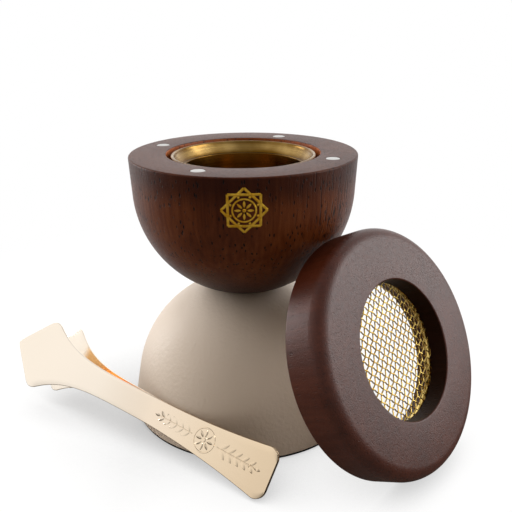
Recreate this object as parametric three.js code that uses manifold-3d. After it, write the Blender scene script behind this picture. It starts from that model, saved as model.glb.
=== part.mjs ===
// A mabkhara, the incense burner of the Gulf, made of two wooden half domes joined at their feet.
// The lower dome is the painted base; the upper one is a bowl that holds a spun brass cup for charcoal.
// Beside it lie its thick ring lid with a brass wire net, leant on the bowl, and a pair of sheet tongs.
// Units are millimetres, +Z is up, and the origin is the middle of the base where it meets the table.

import * as THREE from "three";
import { mergeVertices } from "three/addons/utils/BufferGeometryUtils.js";
import Module from "manifold-3d";

const wasm = await Module();
wasm.setup();

// Clearances shared by all pieces
const SEAT_GAP = 0.3;
const GLUE_GAP = 0.15;
const CUT_OVERRUN = 2;

// Facets
const ROUND_SEGMENTS = 48;
const SMALL_SEGMENTS = 16;
const DOME_STEPS = 10;
const FILLET_STEPS = 3;

// Base: a dome on a slightly flared skirt, over a thin black pad
const PAD_THICKNESS = 1.2;
const PAD_INSET = 0.8;
const BASE_DOME_RADIUS = 52.45;
const BASE_SKIRT_HEIGHT = 18.9;
const BASE_SKIRT_ANGLE = 10.1;
const BASE_FOOT_FILLET = 0.8;
const NECK_RADIUS = 15.1;

// Bowl: a dome turned upside down, with a nearly upright wall above it
const BOWL_DOME_RADIUS = 49.2;
const BOWL_WALL_HEIGHT = 16.9;
const BOWL_WALL_ANGLE = 2.9;
const BOWL_BORE_SHARE = 0.676;
const BOWL_RIM_FILLET = 0.8;
const BORE_EDGE_FILLET = 0.5;
const BORE_DEPTH = 30.2;

// Screw that pulls the bowl onto the base from below
const BOLT_RADIUS = 3;
const BOLT_HEAD_RADIUS = 5;
const BOLT_HEAD_HEIGHT = 6;
const BOLT_SOCKET_RADIUS = 2.9;
const BOLT_SOCKET_DEPTH = 3;
const BOLT_ROOM = 2;
const SOCKET_SIDES = 6;
const WASHER_RADIUS = 8;
const WASHER_THICKNESS = 1.6;
const WASHER_WELL_GAP = 1;
const NECK_WEB = 16;
const INSERT_WALL = 1.5;
const INSERT_LENGTH = 14;

// Brass cup, standing on an insulating disc with an air gap all round
const CUP_SIDE_GAP = 1.9;
const CUP_RIM_DROP = 0.8;
const CUP_WALL = 0.9;
const CUP_LIP_RADIUS = 0.8;
const CUP_FLARE_WIDTH = 3.4;
const CUP_FLARE_DEPTH = 5;
const CUP_SHELF_WIDTH = 0.7;
const CUP_CORNER_RADIUS = 4;
const HEAT_DISC_THICKNESS = 1.2;
const HEAT_DISC_INSET = 3;

// Magnets that hold the lid on the rim
const MAGNET_COUNT = 4;
const MAGNET_RADIUS = 3;
const MAGNET_THICKNESS = 2;
const MAGNET_CHAMFER = 0.25;
const MAGNET_FIRST_ANGLE = -25.4;
const MAGNET_PLACE_SHARE = 0.45;

// Lid: a thick ring, a little wider than the bowl, with a rounded shoulder, a net across its hole
// and a ring that keeps the net
const LID_OVERHANG = 0.7;
const LID_THICKNESS = 17.4;
const LID_SHOULDER_RADIUS = 5.8;
const LID_FOOT_FILLET = 0.8;
const LID_HOLE_SHARE = 0.558;
const LID_HOLE_FILLET = 0.6;
const LID_STEP_WIDTH = 2.8;
const LID_STEP_HEIGHT = 9.3;
const KEEPER_WIDTH = 1.4;
const KEEPER_HEIGHT = 2;
const NET_PITCH = 3.2;
const NET_WIRE = 0.5;
const NET_THICKNESS = 1;
const NET_TURN_ANGLE = 45;

// Lid's place: on its edge in front of the burner, leaning back against the bowl
const LID_AZIMUTH_ANGLE = 46.4;
const LID_LEAN_ANGLE = 26.4;
const LID_SIDESTEP = 4.4;

// Tongs: two spring arms of sheet metal, joined flat at the handle
const SHEET_THICKNESS = 0.9;
const ARM_LENGTH = 140.4;
const HANDLE_HALF_WIDTH = 11.4;
const HANDLE_CORNER_RADIUS = 4.5;
const NECK_DISTANCE = 72.6;
const NECK_HALF_WIDTH = 5.8;
const HANDLE_TAPER_EXPONENT = 2.26;
const HEAD_HALF_WIDTH = 17.6;
const HEAD_POINT_LENGTH = 14.9;
const HEAD_FLARE_EXPONENT = 3.8;
const HEAD_NOSE_HALF_WIDTH = 1;
const SPLIT_DISTANCE = 60;
const TIP_OPENING_WIDTH = 9.6;
const SPLIT_EASE_SHARE = 0.12;
const CORNER_STEPS = 5;
const HANDLE_STEPS = 14;
const HEAD_STEPS = 12;

// Tongs' place: lower corner of the handle on the table, rear arm against the base
const TONGS_AZIMUTH_ANGLE = 144.5;
const TONGS_RISE_ANGLE = 6.9;
const TONGS_TILT_ANGLE = 34.9;
const TONGS_END_BACKSET = 51.3;

const { degToRad } = THREE.MathUtils;
const tanOf = (angle) => Math.tan(degToRad(angle));
const sinOf = (angle) => Math.sin(degToRad(angle));
const cosOf = (angle) => Math.cos(degToRad(angle));
const legOf = (slant, leg) => Math.sqrt(slant * slant - leg * leg);
const point = (radius, height) => new THREE.Vector2(radius, height);

// Heights and radii that follow from the sizes above
const footHeight = PAD_THICKNESS;
const skirtTop = footHeight + BASE_SKIRT_HEIGHT;
const skirtTopRadius = BASE_DOME_RADIUS * cosOf(BASE_SKIRT_ANGLE);
const footRadius = skirtTopRadius + BASE_SKIRT_HEIGHT * tanOf(BASE_SKIRT_ANGLE);
const baseDomeCentre = skirtTop - BASE_DOME_RADIUS * sinOf(BASE_SKIRT_ANGLE);
const neckHeight = baseDomeCentre + legOf(BASE_DOME_RADIUS, NECK_RADIUS);
const bowlDomeCentre = neckHeight + legOf(BOWL_DOME_RADIUS, NECK_RADIUS);
const wallFoot = bowlDomeCentre - BOWL_DOME_RADIUS * sinOf(BOWL_WALL_ANGLE);
const wallFootRadius = BOWL_DOME_RADIUS * cosOf(BOWL_WALL_ANGLE);
const rimHeight = wallFoot + BOWL_WALL_HEIGHT;
const rimRadius = wallFootRadius + BOWL_WALL_HEIGHT * tanOf(BOWL_WALL_ANGLE);
const boreRadius = BOWL_BORE_SHARE * rimRadius;
const cupRimRadius = boreRadius - CUP_SIDE_GAP;
const lidRadius = rimRadius + LID_OVERHANG;
const lidHoleRadius = LID_HOLE_SHARE * lidRadius;
const boreFloor = rimHeight - BORE_DEPTH;
const magnetCircle = boreRadius + MAGNET_PLACE_SHARE * (rimRadius - boreRadius);
const webUnderside = neckHeight - NECK_WEB;
const insertRadius = BOLT_RADIUS + SEAT_GAP + INSERT_WALL;

// Points along an arc in the profile plane, between two angles in degrees
function arc(centreRadius, centreHeight, radius, from, to, steps = FILLET_STEPS) {
  const points = [];
  for (let i = 0; i <= steps; i++) {
    const angle = degToRad(from + ((to - from) * i) / steps);
    points.push(point(
      centreRadius + radius * Math.cos(angle),
      centreHeight + radius * Math.sin(angle),
    ));
  }
  return points;
}

// A turned body about Z. Its profile runs anticlockwise, seen with the radius to the right
function turned(profile, segments = ROUND_SEGMENTS) {
  return new THREE.LatheGeometry(profile, segments).rotateX(Math.PI / 2);
}

// A plain turned disc, cylinder or cutter between two heights
function cylinder(radius, low, high, segments = ROUND_SEGMENTS) {
  return turned([point(0, low), point(radius, low), point(radius, high), point(0, high)], segments);
}

// A turned ring with a rectangular section
function ringBetween(inner, outer, low, high, segments = ROUND_SEGMENTS) {
  const corners = [point(inner, low), point(outer, low), point(outer, high), point(inner, high)];
  return turned([...corners, corners[0]], segments);
}

// A body from its corners and the triangles between them
function indexed(positions, triangles) {
  const geometry = new THREE.BufferGeometry();
  geometry.setAttribute("position", new THREE.Float32BufferAttribute(positions, 3));
  geometry.setIndex(triangles);
  geometry.computeVertexNormals();
  return geometry;
}

function toSolid(geometry) {
  const bare = geometry.clone();
  bare.deleteAttribute("normal");
  bare.deleteAttribute("uv");
  const merged = mergeVertices(bare);
  return new wasm.Manifold(new wasm.Mesh({
    numProp: 3,
    vertProperties: merged.getAttribute("position").array,
    triVerts: new Uint32Array(merged.index.array),
  }));
}

function toGeometry(solid) {
  const mesh = solid.getMesh();
  return indexed(mesh.vertProperties, Array.from(mesh.triVerts));
}

function cut(geometry, cutters) {
  let solid = toSolid(geometry);
  for (const cutter of cutters) solid = solid.subtract(toSolid(cutter));
  return toGeometry(solid);
}

// The value between low and high where a rising function reaches zero
function rootOf(rising, low, high) {
  let below = low;
  let above = high;
  while (above - below > (high - low) * Number.EPSILON * ROUND_SEGMENTS) {
    const middle = (below + above) / 2;
    if (rising(middle) < 0) below = middle;
    else above = middle;
  }
  return (below + above) / 2;
}

const finish = (color, roughness, metalness) =>
  new THREE.MeshStandardMaterial({ color, roughness, metalness });

const paints = {
  putty: () => finish(0xb8a898, 0.62, 0),
  rubber: () => finish(0x151413, 0.85, 0),
  walnut: () => finish(0x3d1d15, 0.38, 0),
  brass: () => finish(0xb98a3a, 0.28, 1),
  roseGold: () => finish(0xe6c8a4, 0.14, 1),
  nickel: () => finish(0xdedbd6, 0.35, 1),
  steel: () => finish(0x8c8f93, 0.4, 1),
  mica: () => finish(0xcfc5b2, 0.9, 0),
};

function piece(name, geometry, material) {
  const mesh = new THREE.Mesh(geometry, material);
  mesh.name = name;
  return mesh;
}

// Base, with a well from below that leaves a web under the neck for the screw
function baseGeometry() {
  const filletCentre = footHeight + BASE_FOOT_FILLET;
  const filletReach = footRadius - BASE_FOOT_FILLET / cosOf(BASE_SKIRT_ANGLE)
    - BASE_FOOT_FILLET * tanOf(BASE_SKIRT_ANGLE);
  const neckAngle = THREE.MathUtils.radToDeg(Math.acos(NECK_RADIUS / BASE_DOME_RADIUS));
  const profile = [
    point(0, footHeight),
    ...arc(filletReach, filletCentre, BASE_FOOT_FILLET, -90, BASE_SKIRT_ANGLE),
    ...arc(0, baseDomeCentre, BASE_DOME_RADIUS, BASE_SKIRT_ANGLE, neckAngle, DOME_STEPS),
    point(0, neckHeight),
  ];
  const wellRadius = WASHER_RADIUS + WASHER_WELL_GAP;
  return cut(turned(profile), [
    cylinder(wellRadius, footHeight - CUT_OVERRUN, webUnderside, SMALL_SEGMENTS),
    cylinder(BOLT_RADIUS + SEAT_GAP, webUnderside - CUT_OVERRUN, neckHeight + CUT_OVERRUN, SMALL_SEGMENTS),
  ]);
}

// Radius of the base's outside at a height
function baseRadiusAt(height) {
  if (height < skirtTop) return skirtTopRadius + (skirtTop - height) * tanOf(BASE_SKIRT_ANGLE);
  const rise = Math.min(height - baseDomeCentre, BASE_DOME_RADIUS);
  return legOf(BASE_DOME_RADIUS, rise);
}

// Magnets stand in pockets on one circle, on the bowl's rim and again under the lid
const magnetAngles = Array.from({ length: MAGNET_COUNT }, (_, i) =>
  degToRad(MAGNET_FIRST_ANGLE) + (i * 2 * Math.PI) / MAGNET_COUNT);

function onMagnetCircle(geometry, angle) {
  return geometry.translate(magnetCircle * Math.cos(angle), magnetCircle * Math.sin(angle), 0);
}

// A magnet with its chamfered face up at height zero
function magnetGeometry() {
  return turned([
    point(0, -MAGNET_THICKNESS),
    point(MAGNET_RADIUS, -MAGNET_THICKNESS),
    point(MAGNET_RADIUS, -MAGNET_CHAMFER),
    point(MAGNET_RADIUS - MAGNET_CHAMFER, 0),
    point(0, 0),
  ], SMALL_SEGMENTS);
}

function magnetPocket() {
  const depth = MAGNET_THICKNESS + GLUE_GAP;
  return cylinder(MAGNET_RADIUS + GLUE_GAP, -depth, CUT_OVERRUN, SMALL_SEGMENTS);
}

function bowlGeometry() {
  const neckAngle = -THREE.MathUtils.radToDeg(Math.acos(NECK_RADIUS / BOWL_DOME_RADIUS));
  const filletReach = rimRadius - BOWL_RIM_FILLET / cosOf(BOWL_WALL_ANGLE)
    - BOWL_RIM_FILLET * tanOf(BOWL_WALL_ANGLE);
  const profile = [
    point(0, neckHeight),
    ...arc(0, bowlDomeCentre, BOWL_DOME_RADIUS, neckAngle, -BOWL_WALL_ANGLE, DOME_STEPS),
    ...arc(filletReach, rimHeight - BOWL_RIM_FILLET, BOWL_RIM_FILLET, -BOWL_WALL_ANGLE, 90),
    ...arc(boreRadius + BORE_EDGE_FILLET, rimHeight - BORE_EDGE_FILLET, BORE_EDGE_FILLET, 90, 180),
    point(boreRadius, boreFloor),
    point(0, boreFloor),
  ];
  const insertHole = cylinder(
    insertRadius + GLUE_GAP,
    neckHeight - CUT_OVERRUN,
    neckHeight + INSERT_LENGTH + BOLT_ROOM,
    SMALL_SEGMENTS,
  );
  const pockets = magnetAngles.map((angle) =>
    onMagnetCircle(magnetPocket(), angle).translate(0, 0, rimHeight));
  return cut(turned(profile), [insertHole, ...pockets]);
}

// The screw and its hexagon socket, from its tip down to its head
function boltGeometry() {
  const headTop = webUnderside - WASHER_THICKNESS;
  const headFoot = headTop - BOLT_HEAD_HEIGHT;
  const body = turned([
    point(0, headFoot),
    point(BOLT_HEAD_RADIUS, headFoot),
    point(BOLT_HEAD_RADIUS, headTop),
    point(BOLT_RADIUS, headTop),
    point(BOLT_RADIUS, neckHeight + INSERT_LENGTH),
    point(0, neckHeight + INSERT_LENGTH),
  ], SMALL_SEGMENTS);
  const socket = cylinder(
    BOLT_SOCKET_RADIUS,
    headFoot - CUT_OVERRUN,
    headFoot + BOLT_SOCKET_DEPTH,
    SOCKET_SIDES,
  );
  return cut(body, [socket]);
}

// The spun cup: flat floor, upright well, a narrow shelf, then a flare up to a rolled lip
function cupGeometry() {
  const top = rimHeight - CUP_RIM_DROP;
  const bottom = boreFloor + HEAT_DISC_THICKNESS;
  const lipCentre = cupRimRadius - CUP_LIP_RADIUS;
  const lipHeight = top - CUP_LIP_RADIUS;
  const shelfHeight = top - CUP_FLARE_DEPTH;
  const flareFoot = lipCentre - CUP_FLARE_WIDTH;
  const wellOutside = flareFoot - CUP_SHELF_WIDTH;
  const wellInside = wellOutside - CUP_WALL;
  const innerCorner = CUP_CORNER_RADIUS - CUP_WALL;
  return turned([
    point(0, bottom),
    ...arc(wellOutside - CUP_CORNER_RADIUS, bottom + CUP_CORNER_RADIUS, CUP_CORNER_RADIUS, -90, 0),
    point(wellOutside, shelfHeight - CUP_WALL),
    point(flareFoot, shelfHeight - CUP_WALL),
    ...arc(lipCentre, lipHeight, CUP_LIP_RADIUS, -45, 180, 2 * FILLET_STEPS),
    point(flareFoot - CUP_WALL / 2, shelfHeight),
    point(wellInside, shelfHeight),
    ...arc(wellInside - innerCorner, bottom + CUP_CORNER_RADIUS, innerCorner, 0, -90),
    point(0, bottom + CUP_WALL),
  ]);
}

// Lid ring with its underside at height zero
function lidRingGeometry() {
  const recess = lidHoleRadius + LID_STEP_WIDTH;
  const profile = [
    point(recess, 0),
    ...arc(lidRadius - LID_FOOT_FILLET, LID_FOOT_FILLET, LID_FOOT_FILLET, -90, 0),
    ...arc(lidRadius - LID_SHOULDER_RADIUS, LID_THICKNESS - LID_SHOULDER_RADIUS, LID_SHOULDER_RADIUS, 0, 90,
      2 * FILLET_STEPS),
    ...arc(lidHoleRadius + LID_HOLE_FILLET, LID_THICKNESS - LID_HOLE_FILLET, LID_HOLE_FILLET, 90, 180),
    point(lidHoleRadius, LID_STEP_HEIGHT),
    point(recess, LID_STEP_HEIGHT),
    point(recess, 0),
  ];
  const pockets = magnetAngles.map((angle) => onMagnetCircle(magnetPocket().rotateX(Math.PI), angle));
  return cut(turned(profile), pockets);
}

// The net: wires crossing at right angles with a square gap in each mesh, trimmed to fit the recess.
// Lines bound the wires in both directions, and a cell of the grid is open where no wire passes.
function netGeometry() {
  const radius = lidHoleRadius + LID_STEP_WIDTH - SEAT_GAP;
  const top = LID_STEP_HEIGHT - SEAT_GAP;
  const low = top - NET_THICKNESS;
  const reach = Math.ceil(radius / NET_PITCH);
  const lines = [];
  for (let i = -reach; i <= reach; i++) {
    lines.push(i * NET_PITCH - NET_WIRE / 2, i * NET_PITCH + NET_WIRE / 2);
  }
  const cells = lines.length - 1;
  const isWire = (i, j) => i >= 0 && j >= 0 && i < cells && j < cells && (i % 2 === 0 || j % 2 === 0);
  const positions = [];
  for (const height of [low, top]) {
    for (const y of lines) {
      for (const x of lines) positions.push(x, y, height);
    }
  }
  const corner = (i, j, level) => (level * lines.length + j) * lines.length + i;
  const triangles = [];
  const quad = (a, b, c, d) => triangles.push(a, b, c, a, c, d);
  const wall = (ia, ja, ib, jb) =>
    quad(corner(ia, ja, 0), corner(ib, jb, 0), corner(ib, jb, 1), corner(ia, ja, 1));
  for (let i = 0; i < cells; i++) {
    for (let j = 0; j < cells; j++) {
      if (!isWire(i, j)) continue;
      quad(corner(i, j, 1), corner(i + 1, j, 1), corner(i + 1, j + 1, 1), corner(i, j + 1, 1));
      quad(corner(i, j, 0), corner(i, j + 1, 0), corner(i + 1, j + 1, 0), corner(i + 1, j, 0));
      if (!isWire(i, j - 1)) wall(i, j, i + 1, j);
      if (!isWire(i + 1, j)) wall(i + 1, j, i + 1, j + 1);
      if (!isWire(i, j + 1)) wall(i + 1, j + 1, i, j + 1);
      if (!isWire(i - 1, j)) wall(i, j + 1, i, j);
    }
  }
  const sheet = indexed(positions, triangles).rotateZ(degToRad(NET_TURN_ANGLE));
  const blank = cylinder(radius, low - CUT_OVERRUN, top + CUT_OVERRUN);
  return toGeometry(toSolid(sheet).intersect(toSolid(blank)));
}

function keeperGeometry() {
  const outer = lidHoleRadius + LID_STEP_WIDTH - SEAT_GAP;
  const top = LID_STEP_HEIGHT - NET_THICKNESS - 2 * SEAT_GAP;
  return ringBetween(outer - KEEPER_WIDTH, outer, top - KEEPER_HEIGHT, top);
}

// The lid stands on its lower back edge; this finds how far out it stands when its upper back edge
// comes to the bowl. Both edges are rounded, so each is followed by the centre line of its rounding.
function leaningLid() {
  const outward = new THREE.Vector3(sinOf(LID_AZIMUTH_ANGLE), -cosOf(LID_AZIMUTH_ANGLE), 0);
  const sideways = new THREE.Vector3(cosOf(LID_AZIMUTH_ANGLE), sinOf(LID_AZIMUTH_ANGLE), 0);
  const normal = outward.clone().multiplyScalar(cosOf(LID_LEAN_ANGLE)).setZ(sinOf(LID_LEAN_ANGLE));
  const upward = normal.clone().cross(sideways);
  const edgeCircle = lidRadius - LID_FOOT_FILLET;
  const height = SEAT_GAP + LID_FOOT_FILLET + edgeCircle * cosOf(LID_LEAN_ANGLE)
    - LID_FOOT_FILLET * sinOf(LID_LEAN_ANGLE);
  const centreAt = (distance) => outward.clone().multiplyScalar(distance)
    .addScaledVector(sideways, LID_SIDESTEP)
    .setZ(height);
  const clearanceAt = (distance) => {
    const toBowl = new THREE.Vector3(0, 0, bowlDomeCentre)
      .sub(centreAt(distance))
      .addScaledVector(normal, -LID_FOOT_FILLET);
    const along = toBowl.dot(normal);
    const across = Math.hypot(toBowl.dot(upward), toBowl.dot(sideways));
    return Math.hypot(along, across - edgeCircle) - BOWL_DOME_RADIUS - LID_FOOT_FILLET - SEAT_GAP;
  };
  const group = new THREE.Group();
  const distance = rootOf(clearanceAt, BOWL_DOME_RADIUS, 2 * (lidRadius + LID_THICKNESS));
  group.applyMatrix4(new THREE.Matrix4().makeBasis(sideways, upward, normal));
  group.position.copy(centreAt(distance));
  return group;
}

// Half width of an arm at a distance from the handle's end
function armHalfWidth(along) {
  const shoulder = ARM_LENGTH - HEAD_POINT_LENGTH;
  if (along < HANDLE_CORNER_RADIUS) {
    const short = HANDLE_CORNER_RADIUS - along;
    const shrink = HANDLE_CORNER_RADIUS - legOf(HANDLE_CORNER_RADIUS, short);
    return armHalfWidth(HANDLE_CORNER_RADIUS) - shrink;
  }
  if (along < NECK_DISTANCE) {
    const share = (NECK_DISTANCE - along) / NECK_DISTANCE;
    return NECK_HALF_WIDTH + (HANDLE_HALF_WIDTH - NECK_HALF_WIDTH) * share ** HANDLE_TAPER_EXPONENT;
  }
  if (along < shoulder) {
    const share = (along - NECK_DISTANCE) / (shoulder - NECK_DISTANCE);
    return NECK_HALF_WIDTH + (HEAD_HALF_WIDTH - NECK_HALF_WIDTH) * share ** HEAD_FLARE_EXPONENT;
  }
  return HEAD_NOSE_HALF_WIDTH + ((HEAD_HALF_WIDTH - HEAD_NOSE_HALF_WIDTH) * (ARM_LENGTH - along)) / HEAD_POINT_LENGTH;
}

// How far an arm stands off the middle plane: flat at the handle, a soft bend, then straight out
function armSpread(along) {
  const share = Math.max(0, (along - SPLIT_DISTANCE) / (ARM_LENGTH - SPLIT_DISTANCE));
  if (share === 0) return 0;
  return (TIP_OPENING_WIDTH * (1 + SPLIT_EASE_SHARE) * share * share) / (share + SPLIT_EASE_SHARE);
}

function armStations() {
  const shoulder = ARM_LENGTH - HEAD_POINT_LENGTH;
  const stations = [];
  for (let i = 0; i < CORNER_STEPS; i++) {
    stations.push(HANDLE_CORNER_RADIUS * (1 - Math.cos((i / CORNER_STEPS) * (Math.PI / 2))));
  }
  for (let i = 0; i < HANDLE_STEPS; i++) {
    stations.push(HANDLE_CORNER_RADIUS + ((NECK_DISTANCE - HANDLE_CORNER_RADIUS) * i) / HANDLE_STEPS);
  }
  for (let i = 0; i <= HEAD_STEPS; i++) {
    stations.push(NECK_DISTANCE + ((shoulder - NECK_DISTANCE) * i) / HEAD_STEPS);
  }
  return [...stations, ARM_LENGTH];
}

// One arm, lofted through its stations. Side is 1 for the front arm and -1 for the rear one
function armGeometry(side) {
  const stations = armStations();
  const positions = [];
  for (const along of stations) {
    const half = armHalfWidth(along);
    const inner = side * (SEAT_GAP / 2 + armSpread(along));
    const outer = inner + side * SHEET_THICKNESS;
    const [low, high] = side > 0 ? [inner, outer] : [outer, inner];
    positions.push(along, -half, low, along, half, low, along, half, high, along, -half, high);
  }
  const corners = 4;
  const triangles = [];
  const quad = (a, b, c, d) => triangles.push(a, b, c, a, c, d);
  for (let i = 0; i + 1 < stations.length; i++) {
    const here = i * corners;
    const next = here + corners;
    for (let k = 0; k < corners; k++) {
      const turn = (k + 1) % corners;
      quad(here + k, here + turn, next + turn, next + k);
    }
  }
  const ring = Array.from({ length: corners }, (_, k) => k);
  const last = (stations.length - 1) * corners;
  quad(...ring.toReversed());
  quad(...ring.map((k) => last + k));
  return indexed(positions, triangles);
}

// The tongs' group: X along the arms, Z out of the front face. It stands off the base by the seat gap
function leaningTongs(arms) {
  const along = new THREE.Vector3(
    cosOf(TONGS_RISE_ANGLE) * cosOf(TONGS_AZIMUTH_ANGLE),
    cosOf(TONGS_RISE_ANGLE) * sinOf(TONGS_AZIMUTH_ANGLE),
    sinOf(TONGS_RISE_ANGLE),
  );
  const level = new THREE.Vector3(-sinOf(TONGS_AZIMUTH_ANGLE), cosOf(TONGS_AZIMUTH_ANGLE), 0);
  const front = level.clone().multiplyScalar(cosOf(TONGS_TILT_ANGLE))
    .addScaledVector(along.clone().cross(level), sinOf(TONGS_TILT_ANGLE));
  const across = front.clone().cross(along);
  const basis = new THREE.Matrix4().makeBasis(along, across, front);
  const turnedPoints = [];
  for (const mesh of arms) {
    const spots = mesh.geometry.getAttribute("position");
    for (let i = 0; i < spots.count; i++) {
      turnedPoints.push(new THREE.Vector3().fromBufferAttribute(spots, i).applyMatrix4(basis));
    }
  }
  const lowest = Math.min(...turnedPoints.map((spot) => spot.z));
  const lift = SEAT_GAP - lowest;
  const backset = new THREE.Vector3(cosOf(TONGS_AZIMUTH_ANGLE), sinOf(TONGS_AZIMUTH_ANGLE), 0)
    .multiplyScalar(-TONGS_END_BACKSET);
  const placeAt = (distance) => backset.clone().addScaledVector(level, distance).setZ(lift);
  const clearanceAt = (distance) => {
    const place = placeAt(distance);
    const gaps = turnedPoints.map((spot) => {
      const height = spot.z + lift;
      return Math.hypot(spot.x + place.x, spot.y + place.y) - baseRadiusAt(height);
    });
    return Math.min(...gaps) - SEAT_GAP;
  };
  const group = new THREE.Group();
  group.applyMatrix4(basis);
  group.position.copy(placeAt(rootOf(clearanceAt, NECK_RADIUS, footRadius + ARM_LENGTH)));
  return group;
}

const burner = new THREE.Group();
burner.add(
  piece("base_pad", cylinder(footRadius - PAD_INSET, 0, PAD_THICKNESS), paints.rubber()),
  piece("base", baseGeometry(), paints.putty()),
  piece("joining_washer", ringBetween(BOLT_RADIUS + SEAT_GAP, WASHER_RADIUS,
    webUnderside - WASHER_THICKNESS, webUnderside, SMALL_SEGMENTS), paints.steel()),
  piece("joining_bolt", boltGeometry(), paints.steel()),
  piece("threaded_insert", ringBetween(BOLT_RADIUS + SEAT_GAP, insertRadius,
    neckHeight, neckHeight + INSERT_LENGTH, SMALL_SEGMENTS), paints.brass()),
  piece("bowl", bowlGeometry(), paints.walnut()),
  piece("heat_disc", cylinder(boreRadius - HEAT_DISC_INSET, boreFloor, boreFloor + HEAT_DISC_THICKNESS),
    paints.mica()),
);
magnetAngles.forEach((angle, i) => {
  const magnet = onMagnetCircle(magnetGeometry(), angle).translate(0, 0, rimHeight);
  burner.add(piece(`bowl_magnet_${i + 1}`, magnet, paints.nickel()));
});

const cup = new THREE.Group();
cup.add(piece("cup", cupGeometry(), paints.brass()));

const lid = leaningLid();
lid.add(
  piece("lid_ring", lidRingGeometry(), paints.walnut()),
  piece("lid_net", netGeometry(), paints.brass()),
  piece("net_keeper", keeperGeometry(), paints.brass()),
);
magnetAngles.forEach((angle, i) => {
  const magnet = onMagnetCircle(magnetGeometry().rotateX(Math.PI), angle);
  lid.add(piece(`lid_magnet_${i + 1}`, magnet, paints.nickel()));
});

const arms = [
  piece("tongs_arm_front", armGeometry(1), paints.roseGold()),
  piece("tongs_arm_rear", armGeometry(-1), paints.roseGold()),
];
const tongs = leaningTongs(arms);
tongs.add(...arms);

const group = new THREE.Group();
group.add(burner, cup, lid, tongs);

export default group;
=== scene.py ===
"""Looks of a mabkhara: painted base, stained bowl with a brass cup, ring lid with a woven net, sheet tongs.

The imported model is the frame. Sizes are in millimetres here and become metres where a mesh is made.
"""

import math

import bpy
import numpy as np
from mathutils import Matrix, Vector


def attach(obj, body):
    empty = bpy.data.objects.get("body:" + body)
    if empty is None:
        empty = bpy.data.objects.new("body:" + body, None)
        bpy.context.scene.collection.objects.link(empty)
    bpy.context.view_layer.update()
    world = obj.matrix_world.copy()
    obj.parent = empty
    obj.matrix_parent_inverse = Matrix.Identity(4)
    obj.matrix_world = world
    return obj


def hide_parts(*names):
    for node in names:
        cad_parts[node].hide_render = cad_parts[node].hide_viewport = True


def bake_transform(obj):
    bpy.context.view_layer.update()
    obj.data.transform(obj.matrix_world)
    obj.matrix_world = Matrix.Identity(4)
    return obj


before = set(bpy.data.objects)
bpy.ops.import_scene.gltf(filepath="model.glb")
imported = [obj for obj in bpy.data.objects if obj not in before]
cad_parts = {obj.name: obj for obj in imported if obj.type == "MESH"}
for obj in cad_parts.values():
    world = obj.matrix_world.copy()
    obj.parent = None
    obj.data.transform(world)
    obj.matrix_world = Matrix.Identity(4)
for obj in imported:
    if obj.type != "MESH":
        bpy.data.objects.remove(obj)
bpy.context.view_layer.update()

MM = 0.001
TURN = 2 * math.pi

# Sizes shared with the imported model, in millimetres
PAD_TOP = 1.2
PAD_INSET = 0.8
SKIRT_TOP = 20.1
SKIRT_ANGLE = 10.1
BASE_DOME = 52.45
NECK_RADIUS = 15.1
BOWL_DOME = 49.2
WALL_ANGLE = 2.9
WALL_HEIGHT = 16.9
EDGE = 0.8
BORE_SHARE = 0.676
BORE_DEPTH = 30.2
BORE_EDGE = 0.5
WASHER_WELL_RADIUS = 9
BOLT_HOLE_RADIUS = 3.3
INSERT_HOLE_RADIUS = 4.95
NECK_WEB = 16
DISC_THICKNESS = 1.2
CUP_SIDE_GAP = 1.9
CUP_DROP = 0.8
CUP_WALL = 0.9
LIP_RADIUS = 0.8
FLARE_WIDTH = 3.4
FLARE_DEPTH = 5
SHELF_WIDTH = 0.7
WELL_CORNER = 4
LID_OVERHANG = 0.7
HOLE_SHARE = 0.558
HOLE_EDGE = 0.6
LID_THICKNESS = 17.4
LID_SHOULDER = 5.8
LID_STEP = 9.3
LID_STEP_WIDTH = 2.8
MAGNET_SHARE = 0.45
MAGNET_TURN = -25.4
MAGNET_RADIUS = 3
MAGNET_THICKNESS = 2
MAGNET_EDGE = 0.25
MAGNET_GAP = 0.15
MAGNET_COUNT = 4

deg = math.radians
skirt_radius = BASE_DOME * math.cos(deg(SKIRT_ANGLE))
base_centre = SKIRT_TOP - BASE_DOME * math.sin(deg(SKIRT_ANGLE))
foot_radius = skirt_radius + (SKIRT_TOP - PAD_TOP) * math.tan(deg(SKIRT_ANGLE))
neck = base_centre + math.sqrt(BASE_DOME**2 - NECK_RADIUS**2)
bowl_centre = neck + math.sqrt(BOWL_DOME**2 - NECK_RADIUS**2)
wall_foot = bowl_centre - BOWL_DOME * math.sin(deg(WALL_ANGLE))
wall_radius = BOWL_DOME * math.cos(deg(WALL_ANGLE))
rim = wall_foot + WALL_HEIGHT
rim_radius = wall_radius + WALL_HEIGHT * math.tan(deg(WALL_ANGLE))
bore_radius = BORE_SHARE * rim_radius
bore_floor = rim - BORE_DEPTH
lid_radius = rim_radius + LID_OVERHANG
hole_radius = HOLE_SHARE * lid_radius
magnet_circle = bore_radius + MAGNET_SHARE * (rim_radius - bore_radius)
magnet_spots = []
for i in range(MAGNET_COUNT):
    a = deg(MAGNET_TURN) + TURN * i / MAGNET_COUNT
    magnet_spots.append((magnet_circle * math.cos(a), magnet_circle * math.sin(a)))

# Places of the lid and the tongs
LID_ORIGIN = Vector((52.674, -44.085, 45.434))
LID_AXES = (
    Vector((0.68962, 0.72417, 0)),
    Vector((-0.32199, 0.30663, 0.89571)),
    Vector((0.64865, -0.61770, 0.44464)),
)
TONGS_ORIGIN = Vector((9.026, -75.687, 9.024))
TONGS_AXES = (
    Vector((-0.80822, 0.57650, 0.12014)),
    Vector((-0.41246, -0.40858, -0.81421)),
    Vector((-0.42031, -0.70761, 0.56800)),
)


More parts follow.
